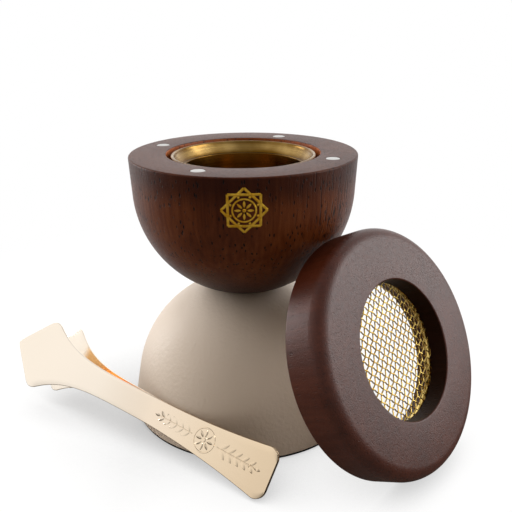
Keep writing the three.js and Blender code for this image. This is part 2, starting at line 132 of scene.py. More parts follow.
def placed(origin, axes):
    """A matrix from a group's own frame, in metres, to the row frame."""
    m = Matrix.Identity(4)
    for column, axis in enumerate(axes):
        for row in range(3):
            m[row][column] = axis.normalized()[row]
    m.translation = origin * MM
    return m


lid_matrix = placed(LID_ORIGIN, LID_AXES)
tongs_matrix = placed(TONGS_ORIGIN, TONGS_AXES)


# Node trees
def tree(name):
    made = bpy.data.materials.new(name)
    made.use_nodes = True
    made.node_tree.nodes.clear()
    return made


def node(made, kind, inputs=None, **settings):
    """A node of that kind. An input that is a socket is linked, and any other is a value."""
    nodes = made.node_tree
    new = nodes.nodes.new("ShaderNode" + kind)
    for key, value in settings.items():
        setattr(new, key, value)
    for key, value in (inputs or {}).items():
        if isinstance(value, bpy.types.NodeSocket):
            nodes.links.new(value, new.inputs[key])
        else:
            new.inputs[key].default_value = value
    return new


def out(new, name=0):
    return new.outputs[name]


def math_node(made, operation, a, b):
    return out(node(made, "Math", {0: a, 1: b}, operation=operation))


def product(made, a, b):
    return math_node(made, "MULTIPLY", a, b)


def larger(made, a, b):
    return math_node(made, "MAXIMUM", a, b)


def part_of(made, vector, axis):
    return out(node(made, "SeparateXYZ", {0: vector}), axis)


def length_of(made, vector):
    return out(node(made, "VectorMath", {0: vector}, operation="LENGTH"), "Value")


def spread_of(made, value, low, high, to_low, to_high, kind="LINEAR"):
    """A value between two bounds, laid out between two others."""
    bounds = {"Value": value, "From Min": low, "From Max": high, "To Min": to_low, "To Max": to_high}
    return out(node(made, "MapRange", bounds, interpolation_type=kind))


def eased(made, value, low, high, to_low=0.0, to_high=1.0):
    """The same with a soft start and end."""
    return spread_of(made, value, low, high, to_low, to_high, "SMOOTHSTEP")


def varied(made, pattern, low, high, reach=0.2):
    """A value that follows a noise pattern, whose own values lie mostly within that reach of a half."""
    return spread_of(made, pattern, 0.5 - reach, 0.5 + reach, low, high)


def ramp(made, factor, stops):
    """A colour ramp with stops of (place, grey or colour)."""
    new = node(made, "ValToRGB", {"Fac": factor})
    elements = new.color_ramp.elements
    while len(elements) < len(stops):
        elements.new(0.5)
    for element, (place, colour) in zip(elements, stops):
        element.position = place
        if not isinstance(colour, tuple):
            colour = (colour, colour, colour)
        element.color = (*colour, 1)
    return out(new, "Color")


def mixed(made, factor, a, b, blend="MIX"):
    """A mix of two colours. The colour inputs of the node are its sixth and seventh, counted from 0."""
    new = node(made, "Mix", {0: factor}, data_type="RGBA", blend_type=blend)
    for socket, value in ((new.inputs[6], a), (new.inputs[7], b)):
        if isinstance(value, bpy.types.NodeSocket):
            made.node_tree.links.new(value, socket)
        else:
            socket.default_value = (*value, 1)
    return out(new, 2)


def between(made, factor, a, b):
    """A mix of two numbers."""
    return out(node(made, "Mix", {0: factor, 2: a, 3: b}, data_type="FLOAT"))


def shaded(colour, share):
    """A colour times a share, which is one number or one for each channel."""
    shares = share if isinstance(share, tuple) else (share, share, share)
    return tuple(min(1, c * s) for c, s in zip(colour, shares))


def scaled(made, vector, x=1, z=1):
    return out(node(made, "Mapping", {"Vector": vector, "Scale": (x, 1, z)}))


def noise(made, vector, scale, detail=3.0, rough=0.5):
    inputs = {"Vector": vector, "Scale": scale, "Detail": detail, "Roughness": rough}
    return out(node(made, "TexNoise", inputs))


def bump(made, height, distance, strength=1.0, normal=None):
    """A normal from a height pattern, over another normal where one is given."""
    inputs = {"Height": height, "Distance": distance * MM, "Strength": strength}
    if normal is not None:
        inputs["Normal"] = normal
    return out(node(made, "Bump", inputs))


def surface(made, **inputs):
    named = {key.replace("_", " "): value for key, value in inputs.items()}
    shader = node(made, "BsdfPrincipled", named)
    node(made, "OutputMaterial", {"Surface": out(shader)})
    return made


def own_place(made, group=None):
    """A place in the row frame, or in the frame of a leaning group."""
    place = out(node(made, "TexCoord"), "Object")
    if group is None:
        return place
    turn = {"Vector": place, "Location": group.translation, "Rotation": group.to_euler()}
    return out(node(made, "Mapping", turn, vector_type="TEXTURE"))


def turned_place(made):
    """A place as distance from the axis and height, so that a texture runs in rings."""
    place = own_place(made)
    flat = out(node(made, "VectorMath", {0: place, 1: (1, 1, 0)}, operation="MULTIPLY"))
    radius = length_of(made, flat)
    return out(node(made, "CombineXYZ", {"X": radius, "Y": 0.0, "Z": part_of(made, place, "Z")}))


# Materials
# Painted shade on the bowl: its tint, and how far it reaches below the rim and above the neck
PAINTED_SHADE_TINT = (0.34, 0.18, 0.1)
PORE_TINT = (0.08, 0.06, 0.06)
WOOD_IOR = 1.45
EDGE_SHADE_REACH = 15
EDGE_SHADE_FULL = 4
FOOT_SHADE_REACH = 24
FOOT_SHADE_FULL = 5
LINES_START = 12
LINES_FULL = 34


def painted_shade_share(made, place, edge, foot):
    """How much painted shade a place gets: most near the edge above and the foot below, and less of it
    on the flat rim."""
    height = part_of(made, place, "Z")
    edge_start, edge_full = (edge - EDGE_SHADE_REACH) * MM, (edge - EDGE_SHADE_FULL) * MM
    under_edge = eased(made, height, edge_start, edge_full, to_high=0.70)
    foot_start, foot_full = (foot + FOOT_SHADE_REACH) * MM, (foot + FOOT_SHADE_FULL) * MM
    over_foot = eased(made, height, foot_start, foot_full, to_high=0.85)
    flank = spread_of(made, height, (edge - 0.7) * MM, (edge - 0.2) * MM, 1.0, 0.55)
    return product(made, larger(made, under_edge, over_foot), flank)


def stained_wood(name, tones, pores, lines, roughness, gloss, group=None, edge=None, foot=0):
    """Dark stained hardwood with its grain along Z: short pores, long open lines on the +X side, and
    dots on the ends. Painted shade darkens it below the height of an edge and above that of a foot. Its tones
    run from dark to pale."""
    made = tree(name)
    place = own_place(made, group)
    dark, mid, pale = tones
    streaks = noise(made, scaled(made, place, z=0.05), scale=620, detail=4, rough=0.6)
    clouds = noise(made, scaled(made, place, z=0.4), scale=48, detail=4, rough=0.6)
    share = math_node(made, "ADD", product(made, streaks, 0.5), product(made, clouds, 0.5))
    tone = ramp(made, share, [(0.36, dark), (0.50, mid), (0.66, pale)])
    cell_inputs = {"Vector": scaled(made, place, z=0.32), "Scale": 760, "Randomness": 1.0}
    cells = out(node(made, "TexVoronoi", cell_inputs, feature="F1"), "Distance")
    ticks = ramp(made, cells, [(0.19, 1.0), (0.25, 0.0)])
    patches = noise(made, scaled(made, place, z=0.5), scale=110, detail=2)
    where = ramp(made, patches, [(0.36, 0.35), (0.46, 1.0)])
    ticks = product(made, product(made, ticks, where), pores)
    side = spread_of(made, part_of(made, place, "X"), LINES_START * MM, LINES_FULL * MM, 0.0, lines)
    thin = noise(made, scaled(made, place, z=0.025), scale=1150, detail=2)
    long_lines = product(made, ramp(made, thin, [(0.58, 0.0), (0.66, 1.0)]), side)
    open_grain = larger(made, ticks, long_lines)
    if edge is not None:
        # Painted shade: the wood is darker below the edge and above the foot
        tone = mixed(made, painted_shade_share(made, place, edge, foot), tone, shaded(dark, PAINTED_SHADE_TINT))
    colour = mixed(made, open_grain, tone, shaded(dark, PORE_TINT))
    speckle = noise(made, place, scale=2400, detail=2, rough=0.6)
    coarse = bump(made, noise(made, place, scale=900, detail=2), distance=0.08, strength=0.6)
    fine = bump(made, speckle, distance=0.10, strength=0.8, normal=coarse)
    return surface(
        made,
        Base_Color=colour,
        Roughness=varied(made, speckle, roughness - 0.07, roughness + 0.07),
        Normal=bump(made, product(made, open_grain, -1.0), distance=0.16, strength=0.9, normal=fine),
        IOR=WOOD_IOR,
        Specular_IOR_Level=gloss,
    )


def paint(name, colour, roughness):
    """Matte lacquer with a fine orange peel."""
    made = tree(name)
    place = own_place(made)
    tone = mixed(made, noise(made, place, scale=26), shaded(colour, 0.96), shaded(colour, 1.04))
    peel = noise(made, place, scale=620, detail=2, rough=0.45)
    orange_peel = bump(made, peel, distance=0.20, strength=0.75)
    dust = ramp(made, noise(made, place, scale=1500, detail=1), [(0.70, 0.0), (0.78, 1.0)])
    return surface(
        made,
        Base_Color=tone,
        Roughness=varied(made, peel, roughness - 0.04, roughness + 0.04),
        Normal=bump(made, dust, distance=0.06, strength=0.6, normal=orange_peel),
        IOR=WOOD_IOR,
        Specular_IOR_Level=0.36,
    )


def spun_brass(name, colour, deep, roughness):
    """Brass turned on a lathe: rings in the gloss and the colour round the axis."""
    made = tree(name)
    rings = turned_place(made)
    broad = noise(made, rings, scale=260, detail=2)
    fine = noise(made, rings, scale=2600, rough=0.7)
    tarnish = noise(made, own_place(made), scale=90)
    bright = ramp(made, product(made, broad, tarnish), [(0.15, 0.0), (0.42, 1.0)])
    return surface(
        made,
        Base_Color=mixed(made, bright, deep, colour),
        Metallic=1.0,
        Roughness=varied(made, fine, roughness - 0.06, roughness + 0.08),
        Normal=bump(made, fine, 0.03, 0.5, normal=bump(made, broad, 0.06, 0.4)),
    )


def metal(name, colour, deep, roughness, grain=900, relief=0.01, depth=0.4, group=None, mottle=45):
    """Plated or drawn metal with a slightly uneven gloss."""
    made = tree(name)
    place = own_place(made, group)
    speckle = noise(made, place, grain, rough=0.6)
    clouds = noise(made, place, mottle, detail=2)
    return surface(
        made,
        Base_Color=mixed(made, varied(made, clouds, 0.0, 1.0), deep, colour),
        Metallic=1.0,
        Roughness=varied(made, speckle, roughness - 0.05, roughness + 0.05, reach=0.25),
        Normal=bump(made, speckle, relief, depth),
    )


SHEET_SPAN = 150


def rolled_sheet(name, stops, roughness, group):
    """Polished sheet metal: a mirror with a soft waviness and hair scratches along the group's X. Its tone
    follows stops of (place along X in millimetres, colour), which paint shade and reflection along the arm."""
    made = tree(name)
    place = own_place(made, group)
    waves = noise(made, scaled(made, place, x=0.4), scale=34, detail=1)
    hair = noise(made, scaled(made, place, x=0.03), scale=2600, detail=2, rough=0.7)
    share = spread_of(made, part_of(made, place, "X"), 0.0, SHEET_SPAN * MM, 0.0, 1.0)
    tone = ramp(made, share, [(spot / SHEET_SPAN, colour) for spot, colour in stops])
    clouds = varied(made, noise(made, place, scale=22, detail=2), 0.0, 0.25)
    return surface(
        made,
        Base_Color=mixed(made, clouds, tone, (0.93, 0.93, 0.90), blend="MULTIPLY"),
        Metallic=1.0,
        Roughness=varied(made, hair, roughness - 0.02, roughness + 0.04),
        Normal=bump(made, hair, 0.004, 0.25, normal=bump(made, waves, 0.25, 0.35)),
    )


def board(name, colour, roughness, grain):
    """Pressed board or rubber: a grainy matte surface."""
    made = tree(name)
    speckle = noise(made, own_place(made), grain, rough=0.65)
    return surface(
        made,
        Base_Color=mixed(made, speckle, shaded(colour, 0.75), shaded(colour, 1.2)),
        Roughness=varied(made, speckle, roughness - 0.05, roughness + 0.05),
        Normal=bump(made, speckle, distance=0.05, strength=0.6),
    )


# The bowl's stain carries painted shade below the rim and above the neck
bowl_wood = stained_wood(
    "bowl_stain_painted_shade",
    [(0.064, 0.0115, 0.002), (0.098, 0.0215, 0.004), (0.150, 0.040, 0.010)],
    pores=1.0,
    lines=0.9,
    roughness=0.40,
    gloss=0.16,
    edge=rim,
    foot=neck,
)
bore_wood = stained_wood(
    "bore_stain",
    [(0.28, 0.065, 0.014), (0.40, 0.10, 0.022), (0.50, 0.15, 0.04)],
    pores=0.8,
    lines=0.5,
    roughness=0.5,
    gloss=0.4,
)
lid_wood = stained_wood(
    "lid_stain",
    [(0.047, 0.0078, 0.0020), (0.064, 0.0115, 0.0034), (0.090, 0.019, 0.007)],
    pores=0.25,
    lines=0.15,
    roughness=0.40,
    gloss=0.47,
    group=lid_matrix,
)
lid_hole_wood = stained_wood(
    "lid_hole_darker",
    [(0.010, 0.0022, 0.0007), (0.014, 0.0032, 0.0010), (0.022, 0.005, 0.002)],
    pores=0.25,
    lines=0.15,
    roughness=0.5,
    gloss=0.12,
    group=lid_matrix,
)
putty = paint("putty_lacquer", (0.80, 0.685, 0.575), roughness=0.46)
rubber = board("pad_rubber", (0.012, 0.012, 0.012), roughness=0.7, grain=1400)
cup_brass = spun_brass("cup_brass", (0.41, 0.265, 0.09), (0.13, 0.060, 0.006), roughness=0.25)
# Darker brass for the well: painted shade in its hollow
well_painted_shade = spun_brass("cup_well_painted_shade", (0.36, 0.195, 0.035), (0.13, 0.052, 0.004), roughness=0.22)
net_brass = metal("net_wire", (0.84, 0.62, 0.20), (0.54, 0.34, 0.06), roughness=0.24, group=lid_matrix)
foil = metal(
    "gold_foil",
    (1.0, 0.64, 0.08),
    (0.76, 0.38, 0.02),
    roughness=0.42,
    grain=1100,
    relief=0.35,
    depth=0.9,
    mottle=500,
)
# Painted shade and reflection: darker towards the handle end and paler towards the head
rose = rolled_sheet(
    "rose_gold_sheet",
    [
        (8, (0.78, 0.61, 0.42)),
        (30, (0.80, 0.645, 0.465)),
        (60, (0.86, 0.72, 0.57)),
        (92, (0.955, 0.85, 0.725)),
        (130, (0.945, 0.84, 0.715)),
    ],
    roughness=0.13,
    group=tongs_matrix,
)
# Inner faces: painted reflection and shade, deep copper along the arm and pale at the head
inside_painted_reflection = rolled_sheet(
    "rose_gold_inside_painted_reflection",
    [(60, (0.62, 0.26, 0.07)), (112, (0.74, 0.45, 0.20)), (116, (0.92, 0.82, 0.70))],
    roughness=0.22,
    group=tongs_matrix,
)
nickel = metal("magnet_plate", (0.53, 0.52, 0.50), (0.44, 0.43, 0.415), roughness=0.36)
steel = metal("fastener_plate", (0.55, 0.56, 0.58), (0.38, 0.39, 0.41), roughness=0.35)
insulation = board("insulating_board", (0.52, 0.45, 0.34), roughness=0.85, grain=700)


# Mesh code
SMOOTH_ANGLE = 35
SMALL_SEGMENTS = 48
SEGMENTS = 160
FINE_SEGMENTS = 192
CUT_OVERRUN = 2
MARGIN = 0.1


def arc(radius, height, size, start, end, steps=8):
    """Points of (radius, height) along an arc in the profile plane, between angles in degrees."""
    angles = np.radians(np.linspace(start, end, steps + 1))
    return [(radius + size * math.cos(a), height + size * math.sin(a)) for a in angles]


def corner(radius, height, size, start, steps=8):
    """A square corner of a profile, rounded by a quarter circle that starts at that angle in degrees."""
    across = math.copysign(size, math.cos(deg(start + 45)))
    up = math.copysign(size, math.sin(deg(start + 45)))
    return arc(radius - across, height - up, size, start, start + 90, steps)


def mesh_object(name, points, faces, material, group=None, smooth=SMOOTH_ANGLE):
    """An object from points in millimetres and faces, smooth across edges under that angle. Points of a
    leaning group are in its own frame."""
    mesh = bpy.data.meshes.new(name)
    mesh.from_pydata([tuple(p * MM for p in point) for point in points], [], faces)
    if group is not None:
        mesh.transform(group)
    mesh.materials.append(material)
    mesh.polygons.foreach_set("use_smooth", [True] * len(mesh.polygons))
    mesh.set_sharp_from_angle(angle=deg(smooth))
    mesh.update()
    made = bpy.data.objects.new(name, mesh)
    bpy.context.scene.collection.objects.link(made)
    return made


def turned_shape(profile, segments=SEGMENTS, spot=(0, 0)):
    """Points and faces of a body turned about an upright axis at a spot. Its profile runs anticlockwise and
    closes on itself."""
    points, faces, rows = [], [], []
    for radius, height in profile:
        if radius == 0:
            rows.append([len(points)] * segments)
            points.append((*spot, height))
            continue
        rows.append(list(range(len(points), len(points) + segments)))
        for i in range(segments):
            a = TURN * i / segments
            points.append((spot[0] + radius * math.cos(a), spot[1] + radius * math.sin(a), height))
    for k, here in enumerate(rows):
        there = rows[(k + 1) % len(rows)]
        for i in range(segments):
            j = (i + 1) % segments
            corners = [here[i], here[j], there[j], there[i]]
            ring = [c for n, c in enumerate(corners) if c != corners[n - 1]]
            if len(ring) > 2:
                faces.append(ring)
    return points, faces


def turned(name, profile, material, group=None, segments=SEGMENTS):
    points, faces = turned_shape(profile, segments)
    return mesh_object(name, points, faces, material, group)


def lofted(faces, first, rings, size, flipped=False):
    """Adds the faces of a tube through rings of points, which start at that index, and of its two ends."""
    for n in range(rings - 1):
        for s in range(size):
            a, t = first + n * size, (s + 1) % size
            b = a + size
            faces.append((a + s, b + s, b + t, a + t) if flipped else (a + s, a + t, b + t, b + s))
    start = [first + s for s in range(size)]
    end = [s + (rings - 1) * size for s in start]
    faces += [start, end[::-1]] if flipped else [start[::-1], end]


def stand(piece, body, slot, *nodes):
    """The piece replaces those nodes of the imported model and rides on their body."""
    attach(piece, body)
    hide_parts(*nodes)


def pocketed(piece, low, high, group=None):
    """Cuts a round pocket between two heights for each magnet."""
    pocket = MAGNET_RADIUS + MAGNET_GAP
    for spot in magnet_spots:
        profile = [(0, low), (pocket, low), (pocket, high), (0, high)]
        points, faces = turned_shape(profile, SMALL_SEGMENTS, spot)
        cutter = mesh_object("cutter", points, faces, piece.data.materials[0], group)
        cut = piece.modifiers.new("pocket", "BOOLEAN")
        cut.operation = "DIFFERENCE"
        cut.solver = "EXACT"
        cut.object = cutter
        bpy.context.view_layer.update()
        baked = bpy.data.meshes.new_from_object(piece.evaluated_get(bpy.context.evaluated_depsgraph_get()))
        piece.modifiers.clear()
        piece.data = baked
        bpy.data.objects.remove(cutter)
    piece.data.set_sharp_from_angle(angle=deg(SMOOTH_ANGLE))


# Relief: points of (along, across, height) on a surface, with their faces
RELIEF_FOOT = -0.03
BEAD_SIDES = 16
LEAF_STEPS = 10
PETALS = 8


def around(middle, radius, angle):
    """A point at that distance from a middle, in a direction in degrees."""
    return middle[0] + radius * math.cos(deg(angle)), middle[1] + radius * math.sin(deg(angle))


def straight_path(start, end, steps):
    return [tuple(p + (q - p) * i / steps for p, q in zip(start, end)) for i in range(steps + 1)]


def round_path(radius, steps=48, middle=(0, 0)):
    return [around(middle, radius, 360 * i / steps) for i in range(steps + 1)]


def strip(relief, path, width, height):
    """A raised line along a path of (along, across), with sloping flanks."""
    points, faces = relief
    first = len(points)
    section = ((0.5, RELIEF_FOOT), (0.3, height), (-0.3, height), (-0.5, RELIEF_FOOT))
    for i, (x, y) in enumerate(path):
        ahead, behind = path[min(i + 1, len(path) - 1)], path[max(i - 1, 0)]
        run = math.hypot(ahead[0] - behind[0], ahead[1] - behind[1])
        nx, ny = -(ahead[1] - behind[1]) / run, (ahead[0] - behind[0]) / run
        points += [(x + nx * side * width, y + ny * side * width, h) for side, h in section]
    lofted(faces, first, len(path), len(section))


def leaf(relief, base, angle, length, width, height):
    """A pointed leaf with a ridge, from its base in a direction in degrees."""
    points, faces = relief
    first = len(points)
    ux, uy = math.cos(deg(angle)), math.sin(deg(angle))
    for i in range(LEAF_STEPS + 1):
        t = i / LEAF_STEPS
        half = width / 2 * math.sin(math.pi * t) ** 0.8 + 0.01
        x, y = base[0] + ux * length * t, base[1] + uy * length * t
        ridge = RELIEF_FOOT + (height - RELIEF_FOOT) * math.sin(math.pi * t) ** 0.5
        points.append((x - uy * half, y + ux * half, RELIEF_FOOT))
        points.append((x, y, ridge))
        points.append((x + uy * half, y - ux * half, RELIEF_FOOT))
    lofted(faces, first, LEAF_STEPS + 1, 3)


def bead(relief, middle, radius, height):
    """A round bead with a flat top."""
    points, faces = relief
    first = len(points)
    for share, h in ((1.0, RELIEF_FOOT), (0.85, height * 0.7), (0.55, height)):
        for i in range(BEAD_SIDES):
            a = TURN * i / BEAD_SIDES
            across, up = share * radius * math.cos(a), share * radius * math.sin(a)
            points.append((middle[0] + across, middle[1] + up, h))
    for ring in (0, 1):
        for i in range(BEAD_SIDES):
            a, b = first + ring * BEAD_SIDES + i, first + ring * BEAD_SIDES + (i + 1) % BEAD_SIDES
            faces.append((a, b, b + BEAD_SIDES, a + BEAD_SIDES))
    faces.append([first + 2 * BEAD_SIDES + i for i in range(BEAD_SIDES)])
    faces.append([first + i for i in reversed(range(BEAD_SIDES))])


def rosette(relief, middle, radius, height):
    """Petals round a bead."""
    for i in range(PETALS):
        angle = 90 + 360 * i / PETALS
        start = around(middle, 0.26 * radius, angle)
        leaf(relief, start, angle, 0.74 * radius, 1.9 * radius / PETALS * 1.35, height)
    bead(relief, middle, 0.19 * radius, height)


# Base: dome on a flared skirt, over its pad
PAD_EDGE = 0.3
neck_turn = math.degrees(math.acos(NECK_RADIUS / BASE_DOME))
fillet_reach = foot_radius - EDGE * (math.tan(deg(SKIRT_ANGLE)) + 1 / math.cos(deg(SKIRT_ANGLE)))
base = turned(
    "base_dome",
    [
        (WASHER_WELL_RADIUS, PAD_TOP),
        *arc(fillet_reach, PAD_TOP + EDGE, EDGE, -90, SKIRT_ANGLE),
        *arc(0, base_centre, BASE_DOME, SKIRT_ANGLE, neck_turn, steps=48),
        (BOLT_HOLE_RADIUS, neck),
        (BOLT_HOLE_RADIUS, neck - NECK_WEB),
        (WASHER_WELL_RADIUS, neck - NECK_WEB),
    ],
    putty,
)
stand(base, "burner", "putty_paint", "base")

pad_radius = foot_radius - PAD_INSET
pad = turned(
    "base_pad_disc",
    [
        (0, 0),
        *corner(pad_radius, 0, PAD_EDGE, -90, steps=3),
        *corner(pad_radius, PAD_TOP, PAD_EDGE, 0, steps=3),
        (0, PAD_TOP),
    ],
    rubber,
)
stand(pad, "burner", "pad_rubber", "base_pad")

# Bowl: dome turned upside down, upright wall, flat rim and bore. The bore has its own stain.
bowl_turn = -math.degrees(math.acos(NECK_RADIUS / BOWL_DOME))
rim_fillet = rim_radius - EDGE / math.cos(deg(WALL_ANGLE)) - EDGE * math.tan(deg(WALL_ANGLE))
bowl = turned(
    "bowl_turned",
    [
        (INSERT_HOLE_RADIUS, neck),
        *arc(0, bowl_centre, BOWL_DOME, bowl_turn, -WALL_ANGLE, steps=56),
        *arc(rim_fillet, rim - EDGE, EDGE, -WALL_ANGLE, 90),
        *corner(bore_radius, rim, BORE_EDGE, 90, steps=5),
        (bore_radius, bore_floor),
        (0, bore_floor),
        (0, neck + NECK_WEB),
        (INSERT_HOLE_RADIUS, neck + NECK_WEB),
    ],
    bowl_wood,
    segments=FINE_SEGMENTS,
)
pocketed(bowl, rim - MAGNET_THICKNESS - MAGNET_GAP, rim + CUT_OVERRUN)
bowl.data.materials.append(bore_wood)
for face in bowl.data.polygons:
    middle = face.center / MM
    if math.hypot(middle.x, middle.y) < bore_radius + MARGIN and middle.z > bore_floor - MARGIN:
        face.material_index = 1
stand(bowl, "burner", "walnut_bowl", "bowl")


def magnet(name, spot, face, facing, group=None):
    """A disc magnet with a small rolled edge, its bright face at that height."""
    profile = [
        (0, face - MAGNET_THICKNESS),
        (MAGNET_RADIUS, face - MAGNET_THICKNESS),
        *corner(MAGNET_RADIUS, face, MAGNET_EDGE, 0, steps=3),
        (0, face),
    ]
    if facing < 0:
        profile = [(r, 2 * face - z) for r, z in reversed(profile)]
    points, faces = turned_shape(profile, SMALL_SEGMENTS, spot)
    return mesh_object(name, points, faces, nickel, group)


# Gold leaf ornament on the bowl's front: an eight-pointed star round a rosette
MOTIF_HEIGHT = 109.6
STAR_RADIUS = 8.8
STAR_LINE = 1.1
RING_RADIUS = 4.5
RING_LINE = 0.75
ROSETTE_RADIUS = 3.9
DOT_CIRCLE = 5.6
DOT_RADIUS = 0.5
DOT_COUNT = 8


def on_bowl(across, up, lift):
    """A place on the bowl's outside, from distances along it from the middle of the motif's front."""
    climb = up + (MOTIF_HEIGHT - wall_foot) / math.cos(deg(WALL_ANGLE))
    if climb > 0:
        tilt = -deg(WALL_ANGLE)
        radius = wall_radius + climb * math.sin(deg(WALL_ANGLE))
        height = wall_foot + climb * math.cos(deg(WALL_ANGLE))
    else:
        tilt = -deg(WALL_ANGLE) + climb / BOWL_DOME
        radius = BOWL_DOME * math.cos(tilt)
        height = bowl_centre + BOWL_DOME * math.sin(tilt)
    turn = -TURN / 4 + across / wall_radius
    radius += lift * math.cos(tilt)
    return radius * math.cos(turn), radius * math.sin(turn), height + lift * math.sin(tilt)


motif = ([], [])
for square, lift in ((0, 0.05), (45, 0.07)):
    for side in range(4):
        start = around((0, 0), STAR_RADIUS, square + 90 * side)
        end = around((0, 0), STAR_RADIUS, square + 90 * (side + 1))
        strip(motif, straight_path(start, end, 16), STAR_LINE, height=lift)
strip(motif, round_path(RING_RADIUS, steps=56), RING_LINE, height=0.05)
rosette(motif, (0, 0), ROSETTE_RADIUS, height=0.09)
for i in range(DOT_COUNT):
    bead(motif, around((0, 0), DOT_CIRCLE, 360 / DOT_COUNT * (i + 0.5)), DOT_RADIUS, height=0.06)
motif_gold = mesh_object("bowl_star_leaf", [on_bowl(*p) for p in motif[0]], motif[1], foil, smooth=50)
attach(motif_gold, "burner")

for i, spot in enumerate(magnet_spots, 1):
    stand(magnet(f"rim_magnet_{i}", spot, rim, 1), "burner", "magnet_nickel", f"bowl_magnet_{i}")

# Cup: rolled lip, flare, shelf and well, with a drawn corner at the floor. The well is darker brass: painted
# shade.
SHELF_OUTER_CREASE = 0.3
SHELF_INNER_CREASE = 0.35
WELL_MOUTH = 0.25
FLARE_INSET = 1.1
FLARE_START = 1.3
FACING_UP = 0.3
cup_top = rim - CUP_DROP
cup_foot = bore_floor + DISC_THICKNESS
lip = bore_radius - CUP_SIDE_GAP - LIP_RADIUS
flare_foot = lip - FLARE_WIDTH
well_outside = flare_foot - SHELF_WIDTH
well_inside = well_outside - CUP_WALL
shelf = cup_top - FLARE_DEPTH
shelf_under = shelf - CUP_WALL
cup = turned(
    "cup_spun",
    [
        (0, cup_foot),
        *corner(well_outside, cup_foot, WELL_CORNER, -90),
        (well_outside, shelf_under - SHELF_OUTER_CREASE - MARGIN),
        *reversed(corner(well_outside, shelf_under, SHELF_OUTER_CREASE, 90, steps=3)),
        (flare_foot + MARGIN, shelf_under),
        *arc(lip, cup_top - LIP_RADIUS, LIP_RADIUS, -45, 180, steps=14),
        (lip - FLARE_INSET, cup_top - FLARE_START),
        *arc(flare_foot - MARGIN, shelf + SHELF_INNER_CREASE, SHELF_INNER_CREASE, -30, -90, steps=3),
        *corner(well_inside, shelf, WELL_MOUTH, 90, steps=4),
        *reversed(corner(well_inside, cup_foot + CUP_WALL, WELL_CORNER - CUP_WALL, -90)),
        (0, cup_foot + CUP_WALL),
    ],
    cup_brass,
    segments=FINE_SEGMENTS,
)
cup.data.materials.append(well_painted_shade)
for face in cup.data.polygons:
    middle = face.center / MM
    inward = face.normal.z > FACING_UP or face.normal.x * middle.x + face.normal.y * middle.y < 0
    if inward and middle.z < shelf - MARGIN:
        face.material_index = 1
stand(cup, "cup", "spun_brass", "cup")

# Lid ring with its step from below. The wall of its hole is darker.
RECESS_EDGE = 0.3
recess = hole_radius + LID_STEP_WIDTH
lid_ring = turned(
    "lid_turned",
    [
        *corner(recess, 0, RECESS_EDGE, 180, steps=3),
        *corner(lid_radius, 0, EDGE, -90),
        *corner(lid_radius, LID_THICKNESS, LID_SHOULDER, 0, steps=20),
        *corner(hole_radius, LID_THICKNESS, HOLE_EDGE, 90),
        (hole_radius, LID_STEP),
        (recess, LID_STEP),
    ],
    lid_wood,
    lid_matrix,
    segments=FINE_SEGMENTS,
)
pocketed(lid_ring, -CUT_OVERRUN, MAGNET_THICKNESS + MAGNET_GAP, lid_matrix)
lid_ring.data.materials.append(lid_hole_wood)
from_lid = lid_matrix.inverted()
hole_top = LID_THICKNESS - HOLE_EDGE + MARGIN
for face in lid_ring.data.polygons:
    middle = from_lid @ face.center / MM
    if math.hypot(middle.x, middle.y) < hole_radius + MARGIN and middle.z < hole_top:
        face.material_index = 1
stand(lid_ring, "lid", "walnut_lid", "lid_ring")
for i, spot in enumerate(magnet_spots, 1):
    stand(magnet(f"lid_magnet_disc_{i}", spot, 0, -1, lid_matrix), "lid", "magnet_nickel", f"lid_magnet_{i}")

# Net: two families of drawn wires, woven over and under each other, at 45 degrees to the ring's axes
NET_PITCH = 2.7
NET_DROP = 0.8
NET_SEAT_GAP = 0.4
WIRE_RADIUS = 0.29
WIRE_WAVE = 1.1 * WIRE_RADIUS
WIRE_SIDES = 8
WIRE_SMOOTH_ANGLE = 60
STEPS_PER_PITCH = 8


def net_wire(across, number, reach):
    """The path of one wire along X at that distance across. It waves up and down, and an odd number starts
    the other way up than an even one."""
    half = math.sqrt(reach**2 - across**2)
    steps = max(2, int(2 * half / NET_PITCH * STEPS_PER_PITCH))
    path = []
    for n in range(steps + 1):
        along = -half + 2 * half * n / steps
        phase = math.pi * along / NET_PITCH + math.pi * number
        path.append((along, across, LID_STEP - NET_DROP + WIRE_WAVE * math.cos(phase)))
    return path


def woven_net():
    reach = hole_radius + LID_STEP_WIDTH - NET_SEAT_GAP
    count = int(reach / NET_PITCH)
    points, faces = [], []
    for family in (0, 1):
        for k in range(-count, count + 1):
            path = net_wire(k * NET_PITCH, k + family, reach)
            first = len(points)
            for n, (along, offset, height) in enumerate(path):
                ahead, behind = path[min(n + 1, len(path) - 1)], path[max(n - 1, 0)]
                slope = math.atan2(ahead[2] - behind[2], ahead[0] - behind[0])
                for s in range(WIRE_SIDES):
                    a = TURN * s / WIRE_SIDES
                    lift = WIRE_RADIUS * math.cos(a)
                    u, v = along - lift * math.sin(slope), offset + WIRE_RADIUS * math.sin(a)
                    if family:
                        u, v = -v, u
                    z = height + lift * math.cos(slope)
                    points.append(((u - v) * math.sqrt(0.5), (u + v) * math.sqrt(0.5), z))
            lofted(faces, first, len(path), WIRE_SIDES, flipped=True)
    return mesh_object("net_woven", points, faces, net_brass, lid_matrix, WIRE_SMOOTH_ANGLE)


stand(woven_net(), "lid", "net_brass", "lid_net")

